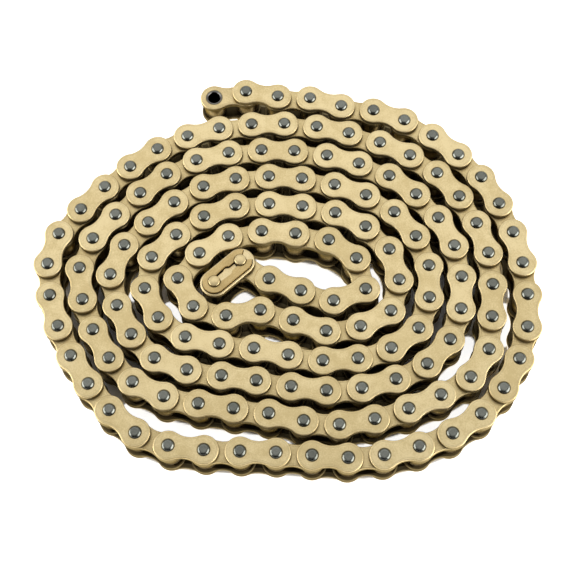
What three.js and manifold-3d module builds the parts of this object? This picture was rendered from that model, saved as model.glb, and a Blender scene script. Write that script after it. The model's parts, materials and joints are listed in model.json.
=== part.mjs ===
// Motorcycle drive chain of size 428 H with 150 links, lying on its side in a loose coil of five
// and a half turns. The open end is outermost and the master link is at the middle.
// Millimetres. +Z is up, along every pin, and Z = 0 is the surface that the pin ends stand on.
// The chain is open, so link 1 starts with an empty bush and the master link ends with a bare pin.
//
// Odd links are inner links: two plates, two bushes pressed into them and two free rollers.
// Even links are outer links: two plates and two riveted pins. The last one is the master link:
// a pin plate with two pins, a loose cover plate and a spring clip.
// Links 1 to 4 and 148 to 150 are made piece by piece. Links 5 to 16 are one solid each, on real
// bores and pins, so that they turn on each other. The rest of the coil is joined in runs.

import * as THREE from 'three';
import { mergeVertices } from 'three/addons/utils/BufferGeometryUtils.js';
import Module from 'manifold-3d';

const wasm = await Module();
wasm.setup();

// Sizes of a 428 H chain
const PITCH = 12.7; // from pin to pin
const LINK_COUNT = 150;
const INNER_WIDTH = 7.94; // between the inner plates
const ROLLER_RADIUS = 4.255;
const PIN_RADIUS = 2.25;
const PIN_LENGTH = 18.6;
const PIN_CHAMFER = 0.4;
const PLATE_THICKNESS = 2;
const PLATE_RADIUS = 5.4; // of a plate's round ends
const WAIST_HALF_WIDTH = 3.9; // of a plate at its middle
const BUSH_WALL = 0.6;

// Clearances
const SIDE_GAP = 0.25; // between an inner plate and the outer plate beside it
const ROUND_GAP = 0.3; // between a pin, bush, roller or hole and what is round it

// Master link
const CLIP_THICKNESS = 1;
const CLIP_RADIUS = 4.4; // outside of the clip's round ends
const CLIP_SEAT_RADIUS = 1.95; // where the clip holds a pin's groove
const CLIP_MIDDLE_RADIUS = 1.9; // opening between the two seats
const CLIP_MOUTH = THREE.MathUtils.degToRad(145); // jaw ends, seen from the pin they hold
const CLIP_THROAT = THREE.MathUtils.degToRad(35); // where a seat opens into the slot
const GROOVE_RADIUS = 1.65;
const GROOVE_PLAY = 0.15; // above the clip
const MASTER_HEAD = 0.6; // pin above its groove

// Facets round a full circle
const FINE = 12; // links made piece by piece
const PLAIN = 8; // links made as one solid
const RUN_SIDES = 6; // pins inside a joined run

// Facets of a plate, round each end and along each side of its waist
const FINE_PLATE = [10, 3];
const PLAIN_PLATE = [6, 2];
const RUN_PLATE = [5, 2];

// Levels, from the floor up
const MIDDLE = PIN_LENGTH / 2;
const INNER_FACE = INNER_WIDTH / 2;
const INNER_OUTSIDE = INNER_FACE + PLATE_THICKNESS;
const OUTER_FACE = INNER_OUTSIDE + SIDE_GAP;
const OUTER_OUTSIDE = OUTER_FACE + PLATE_THICKNESS;

const BUSH_BORE = PIN_RADIUS + ROUND_GAP;
const BUSH_RADIUS = BUSH_BORE + BUSH_WALL;
const BUSH_HOLE = BUSH_RADIUS + ROUND_GAP;

// Which links are made how. Each range is [first, last], counted from 1 at the open end.
const OPEN_END_PIECES = [1, 4];
const OPEN_END_LINKS = [5, 16];
const MIDDLE_PIECES = [148, 149];
const RUN_ENDS = [27, 37, 47, 57, 67, 77, 87, 97, 107, 117, 127, 137, 147];
const ALIGNED_LINK = 3; // lies exactly along X

// The line that the pins follow, from the open end inwards, seen from above
const ROUTE = [
  [-28, 72.5], [-16.5, 74], [-5.5, 72], [9, 71], [21, 67.5], [33.5, 65.5],
  [46, 61], [57, 54], [75.5, 35], [88, 2.5], [86.5, -32.5], [67.5, -59.5],
  [34, -72.5], [-1, -71.5], [-45.5, -67.5], [-61.5, -56.5], [-81.5, -27], [-88, 4.5],
  [-78.5, 21.5], [-46, 50.5], [-11, 59.5], [25.5, 55], [57.5, 38.5], [75, 8.5],
  [75.5, -23], [70, -41], [24, -61], [-6.5, -57], [-52, -47], [-69.5, -26],
  [-76, 1.5], [-65, 19.5], [-36, 43], [4, 47.5], [42.5, 35], [62.5, 10],
  [64.5, -18.5], [54, -37], [24, -48.5], [-10, -45], [-47.5, -36], [-61.5, -16],
  [-64.5, 0], [-60.5, 7.5], [-32, 32], [4, 36], [39, 23.5], [53.5, 0],
  [48, -26.5], [25.5, -37], [13.5, -37.5], [-7, -33.5], [-41, -26], [-51, -11],
  [-52, -1], [-27.5, 21.5], [-8, 25], [23.5, 19.5], [38.5, 7], [42.5, -9.5],
  [40, -17.5], [18.5, -26.5], [-9, -18], [-29.5, -21.5], [-31.5, -18.5], [-40, -8],
  [-28.5, 7.5], [-12.5, 13.5], [20.5, 8.5], [26.5, 3], [29.5, -14], [24, -15.5],
  [-5, -6], [-19, 1.5], [-28, -11],
];
const ROUTE_STEPS = 40; // per stretch between two points

const GOLD = new THREE.MeshStandardMaterial({ color: 0xcdb98a, roughness: 0.38, metalness: 0.9 });
const STEEL = new THREE.MeshStandardMaterial({ color: 0x8d8d8b, roughness: 0.35, metalness: 1 });
const DARK_STEEL = new THREE.MeshStandardMaterial({ color: 0x4a4038, roughness: 0.45, metalness: 0.9 });
const CLIP_GOLD = new THREE.MeshStandardMaterial({ color: 0xc2a86c, roughness: 0.3, metalness: 0.95 });

// --- The lay of the chain ---

// Pin centres, one pitch apart in a straight line from each to the next
function pinsAlong(route) {
  const points = route.map(([x, y]) => new THREE.Vector3(x, y, 0));
  const line = new THREE.CatmullRomCurve3(points).getPoints(route.length * ROUTE_STEPS);
  const pins = [line[0]];
  for (let i = 1; i < line.length && pins.length <= LINK_COUNT; i += 1) {
    const last = pins[pins.length - 1];
    if (line[i].distanceTo(last) < PITCH) continue;
    pins.push(crossing(line[i - 1], line[i], last));
  }
  return pins;
}

// The point between `from` and `to` that is one pitch from `centre`
function crossing(from, to, centre) {
  const along = to.clone().sub(from);
  const start = from.clone().sub(centre);
  const a = along.lengthSq();
  const b = start.dot(along);
  const c = start.lengthSq() - PITCH ** 2;
  const share = (Math.sqrt(b * b - a * c) - b) / a;
  return from.clone().addScaledVector(along, share);
}

const PINS = pinsAlong(ROUTE);

function headingOf(link) {
  const along = PINS[link].clone().sub(PINS[link - 1]);
  return Math.atan2(along.y, along.x);
}

function isInner(link) {
  return link % 2 === 1;
}

// --- Outlines, in a link's own frame: its first pin at the origin, its second at X = PITCH ---

function arc(x, y, radius, from, to, steps) {
  const points = [];
  for (let i = 0; i <= steps; i += 1) {
    const angle = from + ((to - from) * i) / steps;
    points.push(new THREE.Vector2(x + radius * Math.cos(angle), y + radius * Math.sin(angle)));
  }
  return points;
}

function circle(x, radius, sides) {
  return arc(x, 0, radius, 0, 2 * Math.PI, sides).slice(0, -1);
}

// Round ends joined by hollow arcs that touch them smoothly
function waistedOutline(endSteps, waistSteps) {
  const half = PITCH / 2;
  const spread = PLATE_RADIUS ** 2 - WAIST_HALF_WIDTH ** 2 - half ** 2;
  const hollow = -spread / (2 * (PLATE_RADIUS - WAIST_HALF_WIDTH));
  const height = WAIST_HALF_WIDTH + hollow;
  const touch = Math.atan2(height, half);
  const open = Math.PI / 2 - touch;
  const down = -Math.PI / 2;
  return [
    ...arc(0, 0, PLATE_RADIUS, touch, 2 * Math.PI - touch, endSteps),
    ...arc(half, -height, hollow, -down + open, -down - open, waistSteps).slice(1, -1),
    ...arc(PITCH, 0, PLATE_RADIUS, touch - Math.PI, Math.PI - touch, endSteps),
    ...arc(half, height, hollow, down + open, down - open, waistSteps).slice(1, -1),
  ];
}

// Round ends joined by straight sides
function straightOutline(endSteps) {
  const quarter = Math.PI / 2;
  return [
    ...arc(0, 0, PLATE_RADIUS, quarter, 3 * quarter, endSteps),
    ...arc(PITCH, 0, PLATE_RADIUS, -quarter, quarter, endSteps),
  ];
}

function barOutline() {
  const side = WAIST_HALF_WIDTH;
  return [[0, -side], [PITCH, -side], [PITCH, side], [0, side]].map(([x, y]) => {
    return new THREE.Vector2(x, y);
  });
}

// The clip is closed round the link's second pin and open beyond its first
function clipOutline() {
  const quarter = Math.PI / 2;
  const waist = Math.asin((CLIP_SEAT_RADIUS * Math.sin(CLIP_THROAT)) / CLIP_MIDDLE_RADIUS);
  const lower = [
    ...arc(0, 0, CLIP_SEAT_RADIUS, -CLIP_MOUTH, -CLIP_THROAT, 4),
    ...arc(PITCH / 2, 0, CLIP_MIDDLE_RADIUS, waist - Math.PI, -waist, 4),
    ...arc(PITCH, 0, CLIP_SEAT_RADIUS, CLIP_THROAT - Math.PI, 0, 5),
  ];
  const upper = lower.slice(0, -1).reverse().map(({ x, y }) => new THREE.Vector2(x, -y));
  return [
    ...lower,
    ...upper,
    ...arc(0, 0, CLIP_RADIUS, CLIP_MOUTH, quarter, 2),
    ...arc(PITCH, 0, CLIP_RADIUS, quarter, -quarter, 8),
    ...arc(0, 0, CLIP_RADIUS, -quarter, -CLIP_MOUTH, 2),
  ];
}

// --- Solids ---

// An upright prism of an outline, from one height to another, with holes through it
function prism(outline, bottom, top, holes = []) {
  const shape = new THREE.Shape(outline);
  shape.holes = holes.map((points) => new THREE.Path(points));
  const geometry = new THREE.ExtrudeGeometry(shape, { depth: top - bottom, bevelEnabled: false });
  return geometry.translate(0, 0, bottom);
}

// A turned piece whose profile goes up from the axis and back to it, as [radius, height] pairs
function turned(profile, x, sides) {
  const points = profile.map(([radius, height]) => new THREE.Vector2(radius, height));
  const geometry = new THREE.LatheGeometry(points, sides);
  return geometry.rotateX(Math.PI / 2).translate(x, 0, 0);
}

function tube(x, outerRadius, boreRadius, bottom, top, sides) {
  return prism(circle(x, outerRadius, sides), bottom, top, [circle(x, boreRadius, sides)]);
}

function rivetedPin(x, sides) {
  const profile = [
    [0, 0],
    [PIN_RADIUS - PIN_CHAMFER, 0],
    [PIN_RADIUS, PIN_CHAMFER],
    [PIN_RADIUS, PIN_LENGTH - PIN_CHAMFER],
    [PIN_RADIUS - PIN_CHAMFER, PIN_LENGTH],
    [0, PIN_LENGTH],
  ];
  return turned(profile, x, sides);
}

// A master link pin has a groove for the clip and stands higher than a riveted one
function groovedPin(x, sides) {
  const grooveBottom = MIDDLE + OUTER_OUTSIDE;
  const grooveTop = grooveBottom + SIDE_GAP + CLIP_THICKNESS + GROOVE_PLAY;
  const top = grooveTop + MASTER_HEAD;
  const profile = [
    [0, 0],
    [PIN_RADIUS - PIN_CHAMFER, 0],
    [PIN_RADIUS, PIN_CHAMFER],
    [PIN_RADIUS, grooveBottom],
    [GROOVE_RADIUS, grooveBottom],
    [GROOVE_RADIUS, grooveTop],
    [PIN_RADIUS, grooveTop],
    [PIN_RADIUS, top - PIN_CHAMFER],
    [PIN_RADIUS - PIN_CHAMFER, top],
    [0, top],
  ];
  return turned(profile, x, sides);
}

function toManifold(geometry) {
  geometry.deleteAttribute('normal');
  geometry.deleteAttribute('uv');
  const merged = mergeVertices(geometry);
  const corners = merged.index.array;
  const kept = [];
  for (let i = 0; i < corners.length; i += 3) {
    const [a, b, c] = corners.slice(i, i + 3);
    // A turned piece has triangles of no area where its profile meets the axis
    if (a !== b && b !== c && c !== a) kept.push(a, b, c);
  }
  const mesh = new wasm.Mesh({
    numProp: 3,
    vertProperties: merged.attributes.position.array,
    triVerts: new Uint32Array(kept),
  });
  return new wasm.Manifold(mesh);
}

// One solid of several that meet, less what is bored out of them
function joined(geometries, bores = []) {
  const sum = geometries.map(toManifold).reduce((whole, next) => whole.add(next));
  const whole = bores.map(toManifold).reduce((rest, bore) => rest.subtract(bore), sum);
  const mesh = whole.getMesh();
  const geometry = new THREE.BufferGeometry();
  geometry.setAttribute('position', new THREE.BufferAttribute(mesh.vertProperties, 3));
  geometry.setIndex(new THREE.BufferAttribute(mesh.triVerts, 1));
  return geometry;
}

// --- Links made piece by piece ---

const chain = new THREE.Group();
const ENDS = [['a', 0], ['b', PITCH]];

function linkName(link) {
  return `link_${String(link).padStart(3, '0')}`;
}

function linkGroup(link) {
  const group = new THREE.Group();
  group.position.copy(PINS[link - 1]);
  group.rotation.z = headingOf(link);
  chain.add(group);
  return group;
}

function addPiece(group, name, geometry, material) {
  const mesh = new THREE.Mesh(geometry, material);
  mesh.name = name;
  group.add(mesh);
}

// Two equal plates, one above and one below the rollers
function addPlatePair(group, name, inside, outside, holeRadius) {
  const outline = waistedOutline(...FINE_PLATE);
  const holes = ENDS.map(([, x]) => circle(x, holeRadius, FINE));
  const lower = prism(outline, MIDDLE - outside, MIDDLE - inside, holes);
  const upper = prism(outline, MIDDLE + inside, MIDDLE + outside, holes);
  addPiece(group, `${name}_plate_lower`, lower, GOLD);
  addPiece(group, `${name}_plate_upper`, upper, GOLD);
}

function addInnerLinkPieces(link) {
  const group = linkGroup(link);
  const name = linkName(link);
  const rollerTop = INNER_FACE - ROUND_GAP;
  addPlatePair(group, `${name}_inner`, INNER_FACE, INNER_OUTSIDE, BUSH_HOLE);
  for (const [end, x] of ENDS) {
    const bush = tube(x, BUSH_RADIUS, BUSH_BORE, MIDDLE - INNER_OUTSIDE, MIDDLE + INNER_OUTSIDE, FINE);
    const roller = tube(x, ROLLER_RADIUS, BUSH_HOLE, MIDDLE - rollerTop, MIDDLE + rollerTop, FINE);
    addPiece(group, `${name}_bush_${end}`, bush, DARK_STEEL);
    addPiece(group, `${name}_roller_${end}`, roller, DARK_STEEL);
  }
}

function addOuterLinkPieces(link) {
  const group = linkGroup(link);
  const name = linkName(link);
  addPlatePair(group, `${name}_outer`, OUTER_FACE, OUTER_OUTSIDE, PIN_RADIUS + ROUND_GAP);
  for (const [end, x] of ENDS) {
    addPiece(group, `${name}_pin_${end}`, rivetedPin(x, FINE), STEEL);
  }
}

function addMasterLinkPieces(link) {
  const group = linkGroup(link);
  const holes = ENDS.map(([, x]) => circle(x, PIN_RADIUS + ROUND_GAP, FINE));
  const pinPlate = prism(waistedOutline(...FINE_PLATE), MIDDLE - OUTER_OUTSIDE, MIDDLE - OUTER_FACE, holes);
  const cover = prism(straightOutline(8), MIDDLE + OUTER_FACE, MIDDLE + OUTER_OUTSIDE, holes);
  const clipBottom = MIDDLE + OUTER_OUTSIDE + SIDE_GAP;
  const clip = prism(clipOutline(), clipBottom, clipBottom + CLIP_THICKNESS);
  addPiece(group, 'master_link_pin_plate', pinPlate, GOLD);
  addPiece(group, 'master_link_cover_plate', cover, GOLD);
  addPiece(group, 'master_link_spring_clip', clip, CLIP_GOLD);
  for (const [end, x] of ENDS) {
    addPiece(group, `master_link_pin_${end}`, groovedPin(x, FINE), STEEL);
  }
}

// --- Links made as one solid ---

function platePair(outline, inside, outside, holes = []) {
  return [
    prism(outline, MIDDLE - outside, MIDDLE - inside, holes),
    prism(outline, MIDDLE + inside, MIDDLE + outside, holes),
  ];
}

function boreThrough(x) {
  return prism(circle(x, BUSH_BORE, PLAIN), 0, PIN_LENGTH);
}

function barrel(x) {
  const reach = INNER_FACE + PLATE_THICKNESS / 4;
  return prism(circle(x, ROLLER_RADIUS, PLAIN), MIDDLE - reach, MIDDLE + reach);
}

function wholeInnerLink() {
  const plates = platePair(waistedOutline(...PLAIN_PLATE), INNER_FACE, INNER_OUTSIDE);
  const barrels = ENDS.map(([, x]) => barrel(x));
  const bores = ENDS.map(([, x]) => boreThrough(x));
  return joined([...plates, ...barrels], bores);
}

function wholeOuterLink() {
  const plates = platePair(waistedOutline(...PLAIN_PLATE), OUTER_FACE, OUTER_OUTSIDE);
  const pins = ENDS.map(([, x]) => prism(circle(x, PIN_RADIUS, PLAIN), 0, PIN_LENGTH));
  return joined([...plates, ...pins]);
}

function addWholeLink(link) {
  const kind = isInner(link) ? 'inner' : 'outer';
  const geometry = isInner(link) ? wholeInnerLink() : wholeOuterLink();
  addPiece(linkGroup(link), `${linkName(link)}_${kind}_whole`, geometry, GOLD);
}

// --- Runs of joined links ---

// In a run, an outer link is one block of its outside size with its pin ends, and an inner link is
// a bar between two such blocks. The links at a run's ends keep their real plates. There, an inner
// link has an open bore for the pin that belongs to the link outside the run.
function runLinkSolids(link, first, last) {
  const outline = waistedOutline(...RUN_PLATE);
  const isEnd = link === first || link === last;
  if (isInner(link)) {
    if (!isEnd) return [prism(barOutline(), MIDDLE - INNER_OUTSIDE, MIDDLE + INNER_OUTSIDE)];
    return [...platePair(outline, INNER_FACE, INNER_OUTSIDE), barrel(boredEnd(link, first))];
  }
  const pins = ENDS.map(([, x]) => prism(circle(x, PIN_RADIUS, RUN_SIDES), 0, PIN_LENGTH));
  if (isEnd) return [...platePair(outline, OUTER_FACE, OUTER_OUTSIDE), ...pins];
  return [prism(outline, MIDDLE - OUTER_OUTSIDE, MIDDLE + OUTER_OUTSIDE), ...pins];
}

function boredEnd(link, first) {
  return link === first ? 0 : PITCH;
}

function addRun(first, last) {
  const solids = [];
  const bores = [];
  for (let link = first; link <= last; link += 1) {
    const place = new THREE.Matrix4().makeRotationZ(headingOf(link)).setPosition(PINS[link - 1]);
    const isBored = isInner(link) && (link === first || link === last);
    solids.push(...runLinkSolids(link, first, last).map((solid) => solid.applyMatrix4(place)));
    if (isBored) bores.push(boreThrough(boredEnd(link, first)).applyMatrix4(place));
  }
  const range = [first, last].map((link) => String(link).padStart(3, '0')).join('_to_');
  addPiece(chain, `links_${range}`, joined(solids, bores), GOLD);
}

// --- The whole chain ---

function addPieces([first, last]) {
  for (let link = first; link <= last; link += 1) {
    if (isInner(link)) addInnerLinkPieces(link);
    else addOuterLinkPieces(link);
  }
}

addPieces(OPEN_END_PIECES);
for (let link = OPEN_END_LINKS[0]; link <= OPEN_END_LINKS[1]; link += 1) addWholeLink(link);
RUN_ENDS.forEach((last, i) => addRun(i === 0 ? OPEN_END_LINKS[1] + 1 : RUN_ENDS[i - 1] + 1, last));
addPieces(MIDDLE_PIECES);
addMasterLinkPieces(LINK_COUNT);

// The middle of the chain's outline goes over the origin
const turnedChain = new THREE.Group();
chain.rotation.z = -headingOf(ALIGNED_LINK);
turnedChain.add(chain);
const middle = new THREE.Box3().setFromObject(turnedChain, true).getCenter(new THREE.Vector3());
chain.position.set(-middle.x, -middle.y, 0);

export default turnedChain;
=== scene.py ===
# Looks of a motorcycle drive chain of size 428 H, lying on its side in a loose coil.
# Each link's plates, pins, bushes and rollers are built once, in the link's own frame, and copied
# to where the CAD frame has that link. Positions and main sizes are read from the frame.
# Metres. +Z is up, along every pin. A link's own frame has its first pin at the origin and its
# second pin on +X, one pitch away.

import json
import math
import random
import re

import bmesh
import bpy
import numpy as np
from mathutils import Matrix, Quaternion, Vector
from mathutils.geometry import tessellate_polygon

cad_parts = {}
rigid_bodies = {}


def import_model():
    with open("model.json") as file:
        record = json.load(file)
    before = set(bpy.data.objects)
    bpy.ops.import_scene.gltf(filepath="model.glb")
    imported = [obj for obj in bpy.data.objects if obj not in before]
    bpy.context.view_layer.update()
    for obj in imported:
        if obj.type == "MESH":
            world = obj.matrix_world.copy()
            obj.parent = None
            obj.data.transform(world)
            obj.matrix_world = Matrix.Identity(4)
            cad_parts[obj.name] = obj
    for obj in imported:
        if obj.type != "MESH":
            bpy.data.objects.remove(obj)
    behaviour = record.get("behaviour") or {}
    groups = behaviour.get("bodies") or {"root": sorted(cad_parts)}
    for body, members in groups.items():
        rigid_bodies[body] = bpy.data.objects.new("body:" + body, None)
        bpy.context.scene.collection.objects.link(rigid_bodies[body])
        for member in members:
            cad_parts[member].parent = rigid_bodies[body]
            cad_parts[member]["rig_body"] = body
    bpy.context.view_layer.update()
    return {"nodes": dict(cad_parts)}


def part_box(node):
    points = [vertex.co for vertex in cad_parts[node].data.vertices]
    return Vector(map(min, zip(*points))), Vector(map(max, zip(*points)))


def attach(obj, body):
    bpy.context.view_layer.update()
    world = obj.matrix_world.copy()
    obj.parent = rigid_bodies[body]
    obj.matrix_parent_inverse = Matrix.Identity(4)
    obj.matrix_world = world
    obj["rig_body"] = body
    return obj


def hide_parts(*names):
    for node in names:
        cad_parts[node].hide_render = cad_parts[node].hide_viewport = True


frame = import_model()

MM = 0.001

# --- Sizes, read from the frame ---


def middle(node):
    low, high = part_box(node)
    return (low + high) / 2


def levels(node):
    """The lowest and the highest Z of a CAD node."""
    low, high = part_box(node)
    return low.z, high.z


def radii(node):
    """The least and the greatest distance of a CAD node's corners from its upright axis."""
    axis = middle(node).xy
    distances = [(corner.co.xy - axis).length for corner in frame["nodes"][node].data.vertices]
    return min(distances), max(distances)


PITCH = (middle("link_001_bush_b") - middle("link_001_bush_a")).length
PLATE_RADIUS = radii("link_003_inner_plate_upper")[1] - PITCH / 2
PIN_RADIUS = radii("link_002_pin_a")[1]
BUSH_RADIUS = radii("link_001_bush_a")[1]
ROLLER_BORE, ROLLER_RADIUS = radii("link_001_roller_a")
PIN_LEVELS = levels("link_002_pin_a")
BUSH_LEVELS = levels("link_001_bush_a")
ROLLER_LEVELS = levels("link_001_roller_a")
OUTER_LEVELS = levels("link_002_outer_plate_upper")
INNER_LEVELS = levels("link_001_inner_plate_upper")
CLIP_LEVELS = levels("master_link_spring_clip")
MASTER_TOP = levels("master_link_pin_a")[1]
MIDDLE = middle("link_002_pin_a").z
PLATE_THICKNESS = OUTER_LEVELS[1] - OUTER_LEVELS[0]

# --- Shape details ---

WAIST = 0.72 * PLATE_RADIUS  # half the width of a plate at its middle
EDGE_ROUND = 0.42 * MM  # of a plate's outside edge
BACK_BEVEL = 0.12 * MM  # of its edge on the inside
FIT = 0.02 * MM  # round a pressed pin or bush
RUNNING_BORE = PIN_RADIUS + 0.06 * MM  # of a bush that turns on a pin
HOLE_BEVEL = 0.1 * MM
RING_INSET = 0.85 * MM  # coined line that follows the plate's edge
RING_WIDTH = 0.3 * MM
RING_DEPTH = 0.04 * MM
CLIP_SEAT = 1.95 * MM  # radius where the spring clip holds a pin's groove
CLIP_SLOT = 1.9 * MM  # radius of the opening between the two seats
CLIP_OUTSIDE = 4.4 * MM
CLIP_MOUTH = math.radians(145)  # jaw ends, seen from the pin they hold
CLIP_THROAT = math.radians(33)  # where the open seat narrows into the slot
CLIP_BACK = math.radians(50)  # where the closed seat opens into it
CLIP_EASE = 0.1  # radians past its middle, where the slot's arc ends
CLIP_BEVEL = 0.14 * MM
CLIP_PLAY = 0.15 * MM  # of the clip in the grooves, along the pins
GROOVE_RADIUS = 1.65 * MM
GROOVE_ROUND = 0.05 * MM
MASTER_HEAD_RADIUS = PIN_RADIUS - 0.12 * MM
DIMPLE_RADIUS = 0.5 * PIN_RADIUS  # in the middle of a pin's end
DIMPLE_DEPTH = 0.01 * MM
FLAT_START = 0.12 * MM  # from the last row of a plate's edge to its flat face
HOLE_RIM = 2 * MM  # what the corners of a hole give as their distance from the plate's edge
SAME_LEVEL = 0.0001 * MM
END_STEPS = 26  # round one end of a plate
WAIST_STEPS = 6
ROUND_STEPS = 32  # round a pin, bush or roller
HOLE_STEPS = 28

LAST_LINK = 150
FIRST_FIXED = 17  # the links before it swing
FOOT_LEVEL = 0.02 * MM  # only the pins' lower ends have corners below it

CELL = 0.5 * MM  # of the floor
# The floor's glow is painted light; the shade named below is where that glow is left out, as painted shade
LINK_REACH = 3.7 * MM  # floor nearer to a link's centre line is in its shade
GAP_ROOM = 2.6 * MM  # radius of the least disc of floor that is not in the shade of a gap
GAP_WIDEST = 4 * MM  # radius of the largest disc that is tried
GLOW_EDGE = 0.4 * MM
COIL_EDGE = 8.5 * MM  # the moving links also shade the floor that is nearer than this to a fixed link
FLOOR_REACH = (110 * MM, 95 * MM)  # half sizes of the part that is divided into cells
FLOOR_BORDER = (0.3, 1, 3)  # rows and columns beyond it
FLOOR_DROP = 0.05 * MM  # below the pin ends
FLOOR_GLOW = 0.85

# --- The lay of the chain ---


def link_numbers(node):
    """The first and the last link that a CAD node stands for."""
    numbers = [int(text) for text in re.findall(r"\d{3}", node)] or [LAST_LINK]
    return numbers[0], numbers[-1]


def standing_ends(node):
    """Centres of the pins whose lower ends are in this CAD node, in no order."""
    corners = {(round(v.co.x, 6), round(v.co.y, 6))
               for v in frame["nodes"][node].data.vertices if v.co.z < FOOT_LEVEL}
    clusters = []
    for corner in sorted(corners):
        near = [c for c in clusters if math.dist(c[0], corner) < 2.1 * PIN_RADIUS]
        if near:
            near[0].append(corner)
        else:
            clusters.append([corner])
    return [Vector(np.array(c).mean(axis=0)) for c in clusters]


def chain_pins():
    """The plan position of every pin. The first is the open bush, where there is no pin yet."""
    pins = [middle("link_001_bush_a").xy]
    for node in sorted(frame["nodes"], key=lambda n: (link_numbers(n), n)):
        left = standing_ends(node)
        while left:
            left.sort(key=lambda end: abs((end - pins[-1]).length - PITCH))
            pins.append(left.pop(0))
    return pins


PINS = chain_pins()
assert len(PINS) == LAST_LINK + 1, f"{len(PINS)} pins found"


def link_place(link):
    """From a link's own frame to the shared frame."""
    start, end = PINS[link - 1], PINS[link]
    along = end - start
    turn = Matrix.Rotation(math.atan2(along.y, along.x), 4, "Z")
    return Matrix.Translation((start.x, start.y, 0)) @ turn


# --- Shapes: corners, faces and how far each corner is from the rim ---


class Shape:
    def __init__(self):
        self.corners, self.faces, self.rims = [], [], []

    def add_ring(self, points, rim=0.0):
        """Adds a closed row of corners and returns their numbers."""
        first = len(self.corners)
        self.corners.extend(points)
        self.rims.extend([rim] * len(points))
        return list(range(first, len(self.corners)))

    def bridge(self, lower, upper):
        """Quads between two rows that run anticlockwise. They face out when upper is above lower."""
        count = len(lower)
        for i in range(count):
            j = (i + 1) % count
            self.faces.append((lower[i], lower[j], upper[j], upper[i]))

    def skin(self, rings):
        for lower, upper in zip(rings, rings[1:]):
            self.bridge(lower, upper)

    def fill(self, rings, up):
        """A flat face inside the first row and outside the others."""
        numbers = [number for ring in rings for number in ring]
        loops = [[Vector(self.corners[n]) for n in ring] for ring in rings]
        for triangle in tessellate_polygon(loops):
            a, b, c = (numbers[i] for i in triangle)
            p, q, r = (Vector(self.corners[n]).xy for n in (a, b, c))
            is_up = (q - p).cross(r - p) > 0
            self.faces.append((a, b, c) if is_up == up else (a, c, b))


def arc(x, y, radius, start, end, steps):
    angles = [start + (end - start) * i / steps for i in range(steps + 1)]
    return [(x + radius * math.cos(a), y + radius * math.sin(a)) for a in angles]


def circle(x, radius, steps):
    return arc(x, 0, radius, 0, 2 * math.pi, steps)[:-1]


def waisted(inset):
    """A plate's outline, moved inwards: round ends joined by hollow arcs."""
    half = PITCH / 2
    spread = PLATE_RADIUS ** 2 - WAIST ** 2 - half ** 2
    hollow = -spread / (2 * (PLATE_RADIUS - WAIST))
    height = WAIST + hollow
    touch = math.atan2(height, half)
    lean = math.pi / 2 - touch
    radius, hollow = PLATE_RADIUS - inset, hollow + inset
    up = math.pi / 2
    return [
        *arc(0, 0, radius, touch, 2 * math.pi - touch, END_STEPS),
        *arc(half, -height, hollow, up + lean, up - lean, WAIST_STEPS)[1:-1],
        *arc(PITCH, 0, radius, touch - math.pi, math.pi - touch, END_STEPS),
        *arc(half, height, hollow, lean - up, -up - lean, WAIST_STEPS)[1:-1],
    ]


def stadium(inset):
    """The master link's cover plate: round ends joined by straight sides."""
    quarter = math.pi / 2
    radius = PLATE_RADIUS - inset
    return [
        *arc(0, 0, radius, quarter, 3 * quarter, END_STEPS),
        *arc(PITCH, 0, radius, -quarter, quarter, END_STEPS),
    ]


def lifted(points, z):
    return [(x, y, z) for x, y in points]


def plate(outline, hole, thickness=PLATE_THICKNESS, edge=EDGE_ROUND, coined=True):
    """A plate with its inside face at Z = 0 and its outside face up."""
    shape = Shape()
    curve = [(edge * (1 - math.cos(a)), thickness - edge * (1 - math.sin(a)))
             for a in (0, math.pi / 6, math.pi / 3, math.pi / 2)]
    steps = [(3 * BACK_BEVEL, 0), (BACK_BEVEL, 0), (0, BACK_BEVEL), *curve]
    if coined:
        steps += [
            (RING_INSET - RING_WIDTH / 2, thickness),
            (RING_INSET, thickness - RING_DEPTH),
            (RING_INSET + RING_WIDTH / 2, thickness),
        ]
    steps.append((steps[-1][0] + FLAT_START, thickness))
    rings = [shape.add_ring(lifted(outline(inset), z), inset) for inset, z in steps]
    shape.skin(rings)
    tops, bottoms = [], []
    for x in (0, PITCH):
        wall = [(hole + 2 * HOLE_BEVEL, thickness), (hole + HOLE_BEVEL, thickness),
                (hole, thickness - HOLE_BEVEL), (hole, 0)]
        rows = [shape.add_ring(lifted(circle(x, radius, HOLE_STEPS), z), HOLE_RIM) for radius, z in wall]
        shape.skin(rows)
        tops.append(rows[0])
        bottoms.append(rows[-1])
    shape.fill([rings[-1], *tops], up=True)
    shape.fill([rings[0], *bottoms], up=False)
    return shape


def turned(profile, steps=ROUND_STEPS, closed=False):
    """A turned piece of a profile of (radius, z) from the bottom up. A closed profile is a ring's."""
    shape = Shape()
    rings = [shape.add_ring(lifted(circle(0, radius, steps), z)) for radius, z in profile]
    shape.skin(rings)
    if closed:
        shape.bridge(rings[-1], rings[0])
    else:
        shape.faces.append(tuple(reversed(rings[0])))
        shape.faces.append(tuple(rings[-1]))
    return shape


def riveted_pin():
    low, high = PIN_LEVELS
    # Share of the pin's radius, and millimetres below its end
    head = [(1.0, 0.72), (0.97, 0.58), (0.84, 0.3), (0.74, 0.1), (0.64, 0.0)]
    top = [(PIN_RADIUS * share, high - drop * MM) for share, drop in head]
    foot = [(radius, low + high - z) for radius, z in reversed(top)]
    return turned([(DIMPLE_RADIUS, low + DIMPLE_DEPTH), *foot, *top, (DIMPLE_RADIUS, high - DIMPLE_DEPTH)])


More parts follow.
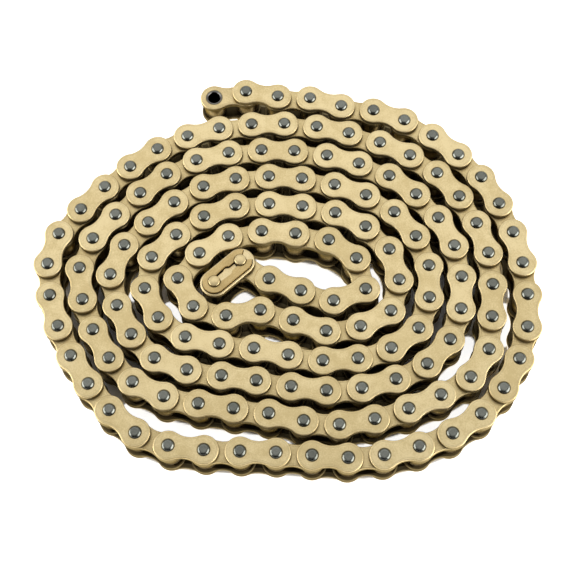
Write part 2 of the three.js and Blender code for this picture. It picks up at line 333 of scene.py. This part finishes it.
def sleeve(bore, radius, ends, bevel, mouth):
    """A bush or roller, with its outside edges broken and a lead into its bore."""
    low, high = ends
    return turned([
        (radius - bevel, low), (radius - 0.3 * bevel, low + 0.3 * bevel), (radius, low + bevel),
        (radius, high - bevel), (radius - 0.3 * bevel, high - 0.3 * bevel), (radius - bevel, high),
        (bore + mouth, high), (bore, high - mouth), (bore, low + mouth), (bore + mouth, low),
    ], closed=True)


def clip_outline():
    """The spring clip: closed round the second pin, open beyond the first."""
    waist = math.asin(CLIP_SEAT * math.sin(CLIP_THROAT) / CLIP_SLOT)
    lower = [
        *arc(0, 0, CLIP_SEAT, -CLIP_MOUTH, -CLIP_THROAT, 12),
        *arc(PITCH / 2, 0, CLIP_SLOT, waist - math.pi, CLIP_EASE - math.pi / 2, 9),
        *arc(PITCH, 0, CLIP_SEAT, CLIP_BACK - math.pi, 0, 16),
    ]
    upper = [(x, -y) for x, y in reversed(lower[:-1])]
    quarter = math.pi / 2
    return [
        *lower,
        *upper,
        *arc(0, 0, CLIP_OUTSIDE, CLIP_MOUTH, quarter, 6),
        *arc(PITCH, 0, CLIP_OUTSIDE, quarter, -quarter, 28),
        *arc(0, 0, CLIP_OUTSIDE, -quarter, -CLIP_MOUTH, 6),
    ]


def spring_clip():
    """Stamped from sheet: its outline is extruded, and the edges of both faces are bevelled."""
    low, high = CLIP_LEVELS
    bm = bmesh.new()
    base = bm.faces.new([bm.verts.new((x, y, low)) for x, y in clip_outline()])
    lid = bmesh.ops.extrude_face_region(bm, geom=[base])["geom"]
    raised = [g for g in lid if isinstance(g, bmesh.types.BMVert)]
    bmesh.ops.translate(bm, verts=raised, vec=(0, 0, high - low))
    bmesh.ops.recalc_face_normals(bm, faces=bm.faces)
    flat = [e for e in bm.edges if abs(e.verts[0].co.z - e.verts[1].co.z) < SAME_LEVEL]
    bmesh.ops.bevel(bm, geom=flat, offset=CLIP_BEVEL, segments=2, profile=0.6, affect="EDGES")
    shape = Shape()
    bm.verts.index_update()
    shape.add_ring([v.co[:] for v in bm.verts])
    shape.faces = [tuple(v.index for v in f.verts) for f in bm.faces]
    bm.free()
    return shape


def grooved_pin():
    """A master link pin: riveted below, and grooved for the clip above."""
    low, high = PIN_LEVELS[0], MASTER_TOP
    groove_low, groove_high = OUTER_LEVELS[1], CLIP_LEVELS[1] + CLIP_PLAY
    groove, head, ease = GROOVE_RADIUS, MASTER_HEAD_RADIUS, GROOVE_ROUND
    # Share of the pin's radius, and millimetres above its end
    foot = [(0.72, 0.0), (0.82, 0.12), (0.92, 0.36), (0.98, 0.62), (1.0, 0.8)]
    profile = [(DIMPLE_RADIUS, low + DIMPLE_DEPTH)]
    profile += [(PIN_RADIUS * share, low + rise * MM) for share, rise in foot]
    profile += [
        (PIN_RADIUS, groove_low), (groove, groove_low + ease), (groove, groove_high - ease),
        (head - ease, groove_high), (head, groove_high + ease), (head, high - 0.3 * MM),
        (head - 0.07 * MM, high - 0.12 * MM), (head - 0.25 * MM, high),
    ]
    return turned(profile)


SHAPES = {
    "inner_plate": plate(waisted, BUSH_RADIUS + FIT),
    "end_plate": plate(waisted, BUSH_RADIUS + FIT),
    "outer_plate": plate(waisted, PIN_RADIUS + FIT),
    "cover_plate": plate(stadium, PIN_RADIUS + FIT, edge=0.6 * MM, coined=False),
    "pin": riveted_pin(),
    "bush": sleeve(RUNNING_BORE, BUSH_RADIUS, BUSH_LEVELS, 0.12 * MM, 0.3 * MM),
    "roller": sleeve(ROLLER_BORE, ROLLER_RADIUS, ROLLER_LEVELS, 0.3 * MM, 0.3 * MM),
    "clip": spring_clip(),
    "master_pin": grooved_pin(),
}
# Edges with a greater angle than this stay sharp, in degrees
SHARP = {"pin": 60, "bush": 40, "roller": 40, "clip": 40, "master_pin": 40}
SHARP_PLATE = 50

# --- Materials ---

WHITE = (1, 1, 1, 1)
BLACK = (0, 0, 0, 1)
EDGE_TINT = (0.62, 0.52, 0.34, 1)  # of light that glances off gold plating
# colour of grease and painted shade between the plates
GREASE_AND_SHADE = (0.03, 0.022, 0.01, 1)
CLIP_SHADE = (0.02, 0.015, 0.008, 1)
OIL_AND_SHADE_IN_BORE = (0.012, 0.01, 0.008, 1)
OIL_AND_SHADE_FILM = (0.02, 0.018, 0.014, 1)


def put(tree, kind, settings=None, output=0, **inputs):
    """Adds a node. An input is a number, a colour or another node's output."""
    node = tree.nodes.new("ShaderNode" + kind)
    for name, value in (settings or {}).items():
        setattr(node, name, value)
    for name, value in inputs.items():
        socket = node.inputs[int(name[1:])] if name[1:].isdigit() else node.inputs[name.replace("_", " ")]
        if isinstance(value, bpy.types.NodeSocket):
            tree.links.new(value, socket)
        else:
            socket.default_value = value
    return node.outputs[output]


def math_node(tree, operation, a, b=0.0):
    return put(tree, "Math", {"operation": operation}, i0=a, i1=b)


def times(tree, a, b):
    return math_node(tree, "MULTIPLY", a, b)


def weighted(tree, *terms, start=0.0):
    """The sum of values, each times its weight, added to a start."""
    total = start
    for value, weight in terms:
        total = math_node(tree, "ADD", total, times(tree, value, weight))
    return total


def ramp(tree, value, low, high, start=0.0, end=1.0):
    """Goes smoothly from start to end as the value goes from low to high."""
    return put(tree, "MapRange", {"interpolation_type": "SMOOTHSTEP"},
               i0=value, i1=low, i2=high, i3=start, i4=end)


def colour_mix(tree, share, a, b):
    return put(tree, "Mix", {"data_type": "RGBA"}, output=2, i0=share, i6=a, i7=b)


def noise(tree, place, scale, detail=2.0, stretch=(1, 1, 1)):
    """Noise with features of about 1 / scale millimetres."""
    if stretch != (1, 1, 1):
        place = put(tree, "VectorMath", {"operation": "MULTIPLY"}, i0=place, i1=stretch)
    return put(tree, "TexNoise", Vector=place, Scale=scale, Detail=detail)


def attribute(tree, name, output="Fac"):
    return put(tree, "Attribute", {"attribute_name": name}, output=output)


def start_material(name, metallic=1.0, tint=WHITE):
    material = bpy.data.materials.new(name)
    material.use_nodes = True
    tree = material.node_tree
    shader = tree.nodes["Principled BSDF"]
    shader.inputs["Metallic"].default_value = metallic
    shader.inputs["Specular Tint"].default_value = tint
    return material, tree, shader


def finish_material(tree, shader, colour, roughness, height, distance):
    bump = put(tree, "Bump", Height=height, Distance=distance, Strength=1.0)
    tree.links.new(colour, shader.inputs["Base Color"])
    tree.links.new(roughness, shader.inputs["Roughness"])
    tree.links.new(bump, shader.inputs["Normal"])


def place_parts(tree):
    """X, Y and Z in the link's own frame, in millimetres."""
    place = attribute(tree, "place", "Vector")
    return [put(tree, "SeparateXYZ", i0=place, output=i) for i in range(3)]


def length(tree, a, b):
    squares = [times(tree, side, side) for side in (a, b)]
    return math_node(tree, "SQRT", math_node(tree, "ADD", *squares))


def from_middle(tree, x):
    return math_node(tree, "SUBTRACT", x, PITCH / MM / 2)


def past_pins(tree, x):
    """How far X is beyond the nearer pin. It is negative between the pins."""
    sideways = math_node(tree, "ABSOLUTE", from_middle(tree, x))
    return math_node(tree, "SUBTRACT", sideways, PITCH / MM / 2)


def band(tree, value, low, high, soft=0.08):
    """1 where the value is between the two limits and 0 elsewhere."""
    rise = ramp(tree, value, low - soft, low + soft)
    fall = ramp(tree, value, high - soft, high + soft, 1.0, 0.0)
    return times(tree, rise, fall)


def clip_shade(tree, x, y):
    """Dark under the clip and just beside it, clear on the rest of the cover plate."""
    near, far = 0.14, 0.32  # from the clip's edge, where the shade starts to fade and where it ends
    past = past_pins(tree, x)
    off_centre = math_node(tree, "SUBTRACT", y, 0.12)
    throat, back = (CLIP_SEAT * math.sin(angle) / MM for angle in (CLIP_THROAT, CLIP_BACK))
    slot = ramp(tree, length(tree, from_middle(tree, x), off_centre),
                CLIP_SLOT / MM - far, CLIP_SLOT / MM - near, 1.0, 0.0)
    width = ramp(tree, from_middle(tree, x), -0.3, 0.3, throat, back)
    beyond = math_node(tree, "SUBTRACT", math_node(tree, "ABSOLUTE", off_centre), width)
    passage = times(tree, ramp(tree, beyond, -far, -near, 1.0, 0.0), ramp(tree, past, -0.6, -0.2, 1.0, 0.0))
    outside = ramp(tree, length(tree, math_node(tree, "MAXIMUM", past, 0.0), y),
                   CLIP_OUTSIDE / MM + near, CLIP_OUTSIDE / MM + far)
    across = times(tree, math_node(tree, "ABSOLUTE", y), math.cos(CLIP_MOUTH))
    along = times(tree, x, math.sin(CLIP_MOUTH))
    mouth = ramp(tree, math_node(tree, "SUBTRACT", across, along), 0.12, 0.3)
    clear = math_node(tree, "MAXIMUM", math_node(tree, "MAXIMUM", slot, passage),
                      math_node(tree, "MAXIMUM", outside, mouth))
    return math_node(tree, "SUBTRACT", 1.0, clear)


def plate_material(name, light, deep, rim, hole, shadow_line=None, shade=None):
    """Satin gold plating: tumbled grain, faint turned rings, a coined line and brown rims, with painted
    shade in the line, on the rims (partly oil), round the holes, along a shadow line and, with grease,
    inside.
    """
    material, tree, shader = start_material(name, tint=EDGE_TINT)
    grain = attribute(tree, "grain", "Vector")
    from_rim = attribute(tree, "rim")
    tone = attribute(tree, "tone")
    x, y, height = place_parts(tree)
    distance = length(tree, past_pins(tree, x), y)
    cloud = noise(tree, grain, 0.22, 3.0)
    speck = noise(tree, grain, 2.2, 2.0)
    fine = noise(tree, grain, 9.0, 1.0)
    turned_rings = math_node(tree, "SINE", weighted(tree, (distance, 5.0), (cloud, 6.0)))
    scratch = ramp(tree, noise(tree, grain, 1.0, 2.0, (0.35, 7.0, 1.0)), 0.64, 0.74)
    scuff = ramp(tree, noise(tree, grain, 0.75, 4.0), 0.72, 0.8)
    # Colour
    share = weighted(tree, (cloud, 0.95), (tone, 0.35), (speck, 0.85))
    colour = colour_mix(tree, ramp(tree, share, 0.75, 1.4), light, deep)
    colour = colour_mix(tree, times(tree, scratch, 0.3), colour, light)
    colour = colour_mix(tree, times(tree, scuff, 0.5), colour, rim)
    # Painted shade in the coined line's groove
    ring_line = band(tree, from_rim, RING_INSET / MM - 0.1, RING_INSET / MM + 0.1)
    colour = colour_mix(tree, times(tree, ring_line, 0.25), colour, rim)
    # Painted shade round the pin or bush that stands in the hole
    pin_shade = ramp(tree, distance, hole / MM + 0.05, hole / MM + 0.35, 0.85, 0.0)
    colour = colour_mix(tree, pin_shade, colour, rim)
    # Painted shadow where the edge of the next outer plate lies over this plate
    if shadow_line:
        painted_shadow = band(tree, distance, shadow_line / MM - 0.3, shadow_line / MM + 0.15, 0.2)
        colour = colour_mix(tree, times(tree, painted_shadow, 0.75), colour, rim)
    # Below the rounded top edge the sides take the brown rim colour, partly oil and partly painted shade;
    # noise makes that line wavy
    side_edge_wobble = noise(tree, grain, 0.6, 3.0)
    top = PLATE_THICKNESS / MM
    above_side = ramp(tree, weighted(tree, (side_edge_wobble, 0.12), start=height), top - 0.5, top - 0.12)
    colour = colour_mix(tree, above_side, rim, colour)
    # Grease and painted shade: on the inside face away from its rim, and on the sides, darker towards the
    # inside face
    inside = ramp(tree, height, 0.05, 0.4, 1.0, 0.0)
    grease_and_shade = times(tree, inside, ramp(tree, from_rim, 0.2, 0.6))
    grease_and_shade = math_node(tree, "MAXIMUM", grease_and_shade, ramp(tree, height, 0.1, 1.1, 0.55, 0.0))
    colour = colour_mix(tree, times(tree, grease_and_shade, 0.94), colour, GREASE_AND_SHADE)
    if shade:
        colour = colour_mix(tree, shade(tree, x, y), colour, CLIP_SHADE)
    # Finish
    edge = ramp(tree, from_rim, 0.15, 0.6, 0.14, 0.0)
    rough = weighted(tree, (speck, 0.16), (turned_rings, 0.012), (scratch, -0.08), (edge, 1.0), start=0.3)
    relief = weighted(tree, (fine, 0.4), (speck, 1.2), (turned_rings, 0.06), (scratch, -0.25))
    finish_material(tree, shader, colour, rough, relief, 0.012 * MM)
    return material


def steel_material(name, light, dark, roughness, streaks, relief, tint=WHITE, bore=0.0, oil_and_shade_band=None):
    """Turned steel: streaks along or round the piece, with a film of oil in patches, and oil with painted
    shade in its bore and over a band of heights.
    """
    material, tree, shader = start_material(name, tint=tint)
    grain = attribute(tree, "grain", "Vector")
    tone = attribute(tree, "tone")
    patch = noise(tree, grain, 0.35, 3.0)
    streak = noise(tree, grain, 1.0, 3.0, streaks)
    fine = noise(tree, grain, 6.0, 2.0)
    share = weighted(tree, (patch, 0.5), (streak, 0.5), (tone, 0.3))
    colour = colour_mix(tree, ramp(tree, share, 0.35, 0.95), light, dark)
    x, y, height = place_parts(tree)
    # Oil and painted shade inside the bore
    if bore:
        inside = ramp(tree, length(tree, x, y), bore / MM, bore / MM + 0.2, 1.0, 0.0)
        colour = colour_mix(tree, inside, colour, OIL_AND_SHADE_IN_BORE)
    # Oil and painted shade over a band of heights: a pin's shank and the foot of its head, or the wall
    # below a master pin's head
    if oil_and_shade_band:
        oil_and_shade = times(tree, band(tree, height, *oil_and_shade_band, 0.15), 0.85)
        colour = colour_mix(tree, oil_and_shade, colour, OIL_AND_SHADE_FILM)
    rough = weighted(tree, (streak, 0.2), start=roughness - 0.08)
    surface = weighted(tree, (streak, 0.7), (fine, 0.3))
    finish_material(tree, shader, colour, rough, surface, relief * MM)
    return material


MATERIALS = {
    "outer_plate": plate_material("satin_gold", (0.83, 0.68, 0.38, 1), (0.66, 0.52, 0.26, 1),
                                  (0.36, 0.29, 0.16, 1), PIN_RADIUS),
    "inner_plate": plate_material("satin_gold_inner", (0.76, 0.61, 0.32, 1), (0.58, 0.45, 0.22, 1),
                                  (0.3, 0.235, 0.12, 1), BUSH_RADIUS, shadow_line=PLATE_RADIUS),
    "end_plate": plate_material("satin_gold_end", (0.78, 0.63, 0.34, 1), (0.6, 0.47, 0.24, 1),
                                (0.3, 0.235, 0.12, 1), BUSH_RADIUS),
    "cover_plate": plate_material("bright_gold", (0.86, 0.71, 0.42, 1), (0.7, 0.55, 0.28, 1),
                                  (0.42, 0.34, 0.19, 1), PIN_RADIUS, shade=clip_shade),
    "clip": plate_material("spring_gold", (0.7, 0.53, 0.25, 1), (0.56, 0.41, 0.18, 1),
                           (0.12, 0.085, 0.035, 1), PIN_RADIUS),
    "pin": steel_material("rivet_steel", (0.2, 0.207, 0.182, 1), (0.14, 0.145, 0.125, 1), 0.22,
                          (2.2, 2.2, 0.4), 0.006, oil_and_shade_band=(0.6, PIN_LEVELS[1] / MM - 0.6)),
    "master_pin": steel_material("gold_pin", (0.8, 0.65, 0.36, 1), (0.68, 0.53, 0.27, 1), 0.34,
                                 (1.2, 1.2, 0.4), 0.008, oil_and_shade_band=(0.6, MASTER_TOP / MM - 0.26)),
    "bush": steel_material("bush_steel", (0.2, 0.19, 0.17, 1), (0.06, 0.055, 0.05, 1), 0.3,
                           (2.5, 2.5, 0.3), 0.006, tint=(0.15, 0.14, 0.12, 1), bore=RUNNING_BORE),
    # The roller's light colour, drawn out in streaks along it, is partly turned streaks and partly painted
    # highlight
    "roller": steel_material("roller_steel", (0.56, 0.44, 0.24, 1), (0.2, 0.15, 0.075, 1), 0.36,
                             (1.0, 1.0, 0.08), 0.0005, tint=(0.4, 0.32, 0.18, 1)),
}

# --- Pieces ---

UPRIGHT = Matrix.Identity(4)
UPSIDE_DOWN = Matrix.Rotation(math.pi, 4, "X")


def raised(level):
    return Matrix.Translation((0, 0, level))


def upper_plate(levels_of):
    return raised(levels_of[0])


def lower_plate(levels_of):
    """The same plate below the rollers, with its outside face down."""
    return raised(2 * MIDDLE - levels_of[0]) @ UPSIDE_DOWN


def at_end(end):
    return Matrix.Translation((PITCH if end == "b" else 0, 0, 0))


def build(name, kind, places):
    """One object of copies of a shape. Each copy has its own shade and its own part of the grain."""
    shape = SHAPES[kind]
    draw = random.Random(name)
    corners = np.array(shape.corners)
    count = len(corners)
    spots, grains, tones = [], [], []
    for place in places:
        turn = np.array(place.to_3x3())
        spots.append(corners @ turn.T + np.array(place.translation))
        grains.append(corners / MM + [draw.uniform(0, 500) for _ in range(3)])
        tones.append(np.full(count, draw.random()))
    copies = len(places)
    faces = [tuple(n + i * count for n in face) for i in range(copies) for face in shape.faces]
    mesh = bpy.data.meshes.new(name)
    mesh.from_pydata(np.concatenate(spots).tolist(), [], faces)
    facts = {
        "place": ("FLOAT_VECTOR", "vector", np.tile(corners / MM, (copies, 1))),
        "grain": ("FLOAT_VECTOR", "vector", np.concatenate(grains)),
        "tone": ("FLOAT", "value", np.concatenate(tones)),
        "rim": ("FLOAT", "value", np.tile(np.array(shape.rims) / MM, copies)),
    }
    for fact, (value_type, field, values) in facts.items():
        data = mesh.attributes.new(fact, value_type, "POINT").data
        data.foreach_set(field, values.astype(np.float32).ravel())
    mesh.shade_smooth()
    mesh.set_sharp_from_angle(angle=math.radians(SHARP.get(kind, SHARP_PLATE)))
    mesh.materials.append(MATERIALS[kind])
    piece = bpy.data.objects.new(name, mesh)
    bpy.context.scene.collection.objects.link(piece)
    return piece


def add(name, kind, places, body, *nodes):
    piece = build(name, kind, places)
    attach(piece, body)
    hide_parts(*nodes)


def link_name(link):
    return f"link_{link:03d}"


def body_of_node(node):
    return frame["nodes"][node]["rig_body"]


def add_pieces(link):
    """A link that the frame has piece by piece."""
    name, place = link_name(link), link_place(link)
    kind, at = ("inner", INNER_LEVELS) if link % 2 else ("outer", OUTER_LEVELS)
    for side, seat in (("lower", lower_plate(at)), ("upper", upper_plate(at))):
        node = f"{name}_{kind}_plate_{side}"
        look = "end_plate" if link == 1 else f"{kind}_plate"
        add(f"{node}_look", look, [place @ seat], body_of_node(node), node)
    for end in "ab":
        for part in ("bush", "roller") if link % 2 else ("pin",):
            node = f"{name}_{part}_{end}"
            add(f"{node}_look", part, [place @ at_end(end)], body_of_node(node), node)


def add_links(node):
    """The links that the frame has as one solid, sorted by kind of piece."""
    first, last = link_numbers(node)
    name = f"links_{first:03d}_to_{last:03d}" if last > first else link_name(first)
    inner = [link_place(k) for k in range(first, last + 1) if k % 2]
    outer = [link_place(k) for k in range(first, last + 1) if not k % 2]
    body = body_of_node(node)
    for kind, group, at in (("inner", inner, INNER_LEVELS), ("outer", outer, OUTER_LEVELS)):
        for side, seat in (("lower", lower_plate(at)), ("upper", upper_plate(at))):
            if group:
                add(f"{name}_{kind}_plates_{side}", f"{kind}_plate", [p @ seat for p in group], body, node)
    for part, group in (("bush", inner), ("roller", inner), ("pin", outer)):
        if group:
            plural = {"bush": "bushes", "roller": "rollers", "pin": "pins"}[part]
            add(f"{name}_{plural}", part, [p @ at_end(end) for p in group for end in "ab"], body, node)


def add_master_link():
    place = link_place(LAST_LINK)
    body = body_of_node("master_link_pin_plate")
    parts = [
        ("pin_plate", "outer_plate", lower_plate(OUTER_LEVELS)),
        ("cover_plate", "cover_plate", upper_plate(OUTER_LEVELS)),
        ("spring_clip", "clip", UPRIGHT),
        ("pin_a", "master_pin", at_end("a")),
        ("pin_b", "master_pin", at_end("b")),
    ]
    for part, kind, seat in parts:
        node = f"master_link_{part}"
        add(f"{node}_look", kind, [place @ seat], body, node)


detailed = {link_numbers(node)[0] for node in frame["nodes"] if "plate" in node or "roller" in node}
for link in sorted(detailed - {LAST_LINK}):
    add_pieces(link)
for node in sorted(frame["nodes"]):
    if node.startswith("links_") or node.endswith("_whole"):
        add_links(node)
add_master_link()

# --- Floor, lights and camera ---


def from_links(x, y, first):
    """How far each cell of a grid is from the centre line of the links from the first one on."""
    pins = np.array([pin[:] for pin in PINS[first - 1:]])
    starts, spans = pins[:-1], np.diff(pins, axis=0)
    rows = []
    for spots in np.stack([x, y], axis=2):
        offsets = spots[:, None] - starts
        shares = np.clip((offsets * spans).sum(axis=2) / PITCH ** 2, 0, 1)
        rows.append(np.linalg.norm(offsets - shares[:, :, None] * spans, axis=2).min(axis=1))
    return np.array(rows)


def open_floor(distances):
    """1 where a disc of some size finds room between the links and 0 in their narrow gaps."""
    room = np.minimum(distances - LINK_REACH, GAP_WIDEST)
    room[room < GAP_ROOM] = 0
    best = np.zeros_like(room)
    reach = round(GAP_WIDEST / CELL)
    for i in range(-reach, reach + 1):
        for j in range(-reach, reach + 1):
            best = np.maximum(best, np.roll(room, (i, j), axis=(0, 1)) - math.hypot(i, j) * CELL)
    return np.clip(best / GLOW_EDGE, 0, 1)


def floor():
    """A wide pale floor just under the pin ends. It glows with painted light, but not in the coil's narrow
    gaps, where the glow is left out as painted shade.
    """
    before = np.negative(FLOOR_BORDER[::-1])
    x, y = np.meshgrid(*[np.concatenate([before, np.arange(-reach, reach, CELL), FLOOR_BORDER])
                         for reach in FLOOR_REACH])
    deep, wide = x.shape
    corners = np.stack([x.ravel(), y.ravel(), np.full(x.size, -FLOOR_DROP)], axis=1)
    faces = [(i + j * wide, i + 1 + j * wide, i + 1 + (j + 1) * wide, i + (j + 1) * wide)
             for j in range(deep - 1) for i in range(wide - 1)]
    mesh = bpy.data.meshes.new("floor")
    mesh.from_pydata(corners.tolist(), [], faces)
    from_coil = from_links(x, y, FIRST_FIXED)
    beside_coil = from_coil < COIL_EDGE
    painted_glow = np.where(beside_coil, open_floor(from_links(x, y, 1)), open_floor(from_coil))
    data = mesh.attributes.new("painted_glow", "FLOAT", "POINT").data
    data.foreach_set("value", painted_glow.astype(np.float32).ravel())
    ground = bpy.data.objects.new("floor", mesh)
    material, tree, shader = start_material("paper", metallic=0.0)
    place = put(tree, "TexCoord", output="Object")
    tint = colour_mix(tree, noise(tree, place, 3.0), (0.93, 0.93, 0.925, 1), (0.9, 0.9, 0.9, 1))
    tree.links.new(tint, shader.inputs["Base Color"])
    tree.links.new(times(tree, attribute(tree, "painted_glow"), FLOOR_GLOW), shader.inputs["Emission Strength"])
    shader.inputs["Roughness"].default_value = 0.9
    shader.inputs["Emission Color"].default_value = WHITE
    mesh.materials.append(material)
    bpy.context.scene.collection.objects.link(ground)


def softbox(name, place, size, power):
    """A lit rectangle that faces the middle of the coil."""
    light = bpy.data.lights.new(name, "AREA")
    light.shape = "RECTANGLE"
    light.size, light.size_y = size
    light.energy = power
    lamp = bpy.data.objects.new(name, light)
    lamp.location = place
    lamp.rotation_mode = "QUATERNION"
    lamp.rotation_quaternion = (-Vector(place)).to_track_quat("-Z", "Y")
    bpy.context.scene.collection.objects.link(lamp)


def sky(strength):
    """White, dark towards the front and brightest towards the back."""
    world = bpy.data.worlds.new("studio")
    bpy.context.scene.world = world
    world.use_nodes = True
    tree = world.node_tree
    background = tree.nodes["Background"]
    side = put(tree, "SeparateXYZ", i0=put(tree, "TexCoord", output="Generated"), output=1)
    front, back = ramp(tree, side, -0.8, -0.2, 0.1, 1.0), ramp(tree, side, 0.0, 0.6, 0.86, 1.06)
    colour = colour_mix(tree, times(tree, front, back), BLACK, WHITE)
    tree.links.new(colour, background.inputs["Color"])
    background.inputs["Strength"].default_value = strength


def camera():
    """Looks down on the coil from the front, turned and rolled a little."""
    azimuth, elevation, roll = (math.radians(a) for a in (-6.417, 68.144, -2.259))
    look = Vector((math.sin(azimuth) * math.cos(elevation),
                   math.cos(azimuth) * math.cos(elevation), -math.sin(elevation)))
    data = bpy.data.cameras.new("camera")
    data.sensor_width = 36
    data.lens = 78.13
    data.clip_start, data.clip_end = 0.01, 20
    view = bpy.data.objects.new("camera", data)
    view.location = (20.253 * MM, -180.028 * MM, 444.953 * MM)
    view.rotation_mode = "QUATERNION"
    view.rotation_quaternion = Quaternion(look, -roll) @ look.to_track_quat("-Z", "Y")
    bpy.context.scene.collection.objects.link(view)
    bpy.context.scene.camera = view


floor()
sky(0.62)
softbox("overhead", (-0.05, 0.6, 1.05), size=(1.2, 0.9), power=1.9)
softbox("left", (-0.8, -0.1, 0.28), size=(0.9, 0.6), power=6.5)
softbox("right", (0.78, -0.22, 0.28), size=(0.9, 0.6), power=7.5)
camera()
bpy.context.scene.view_settings.view_transform = "Standard"
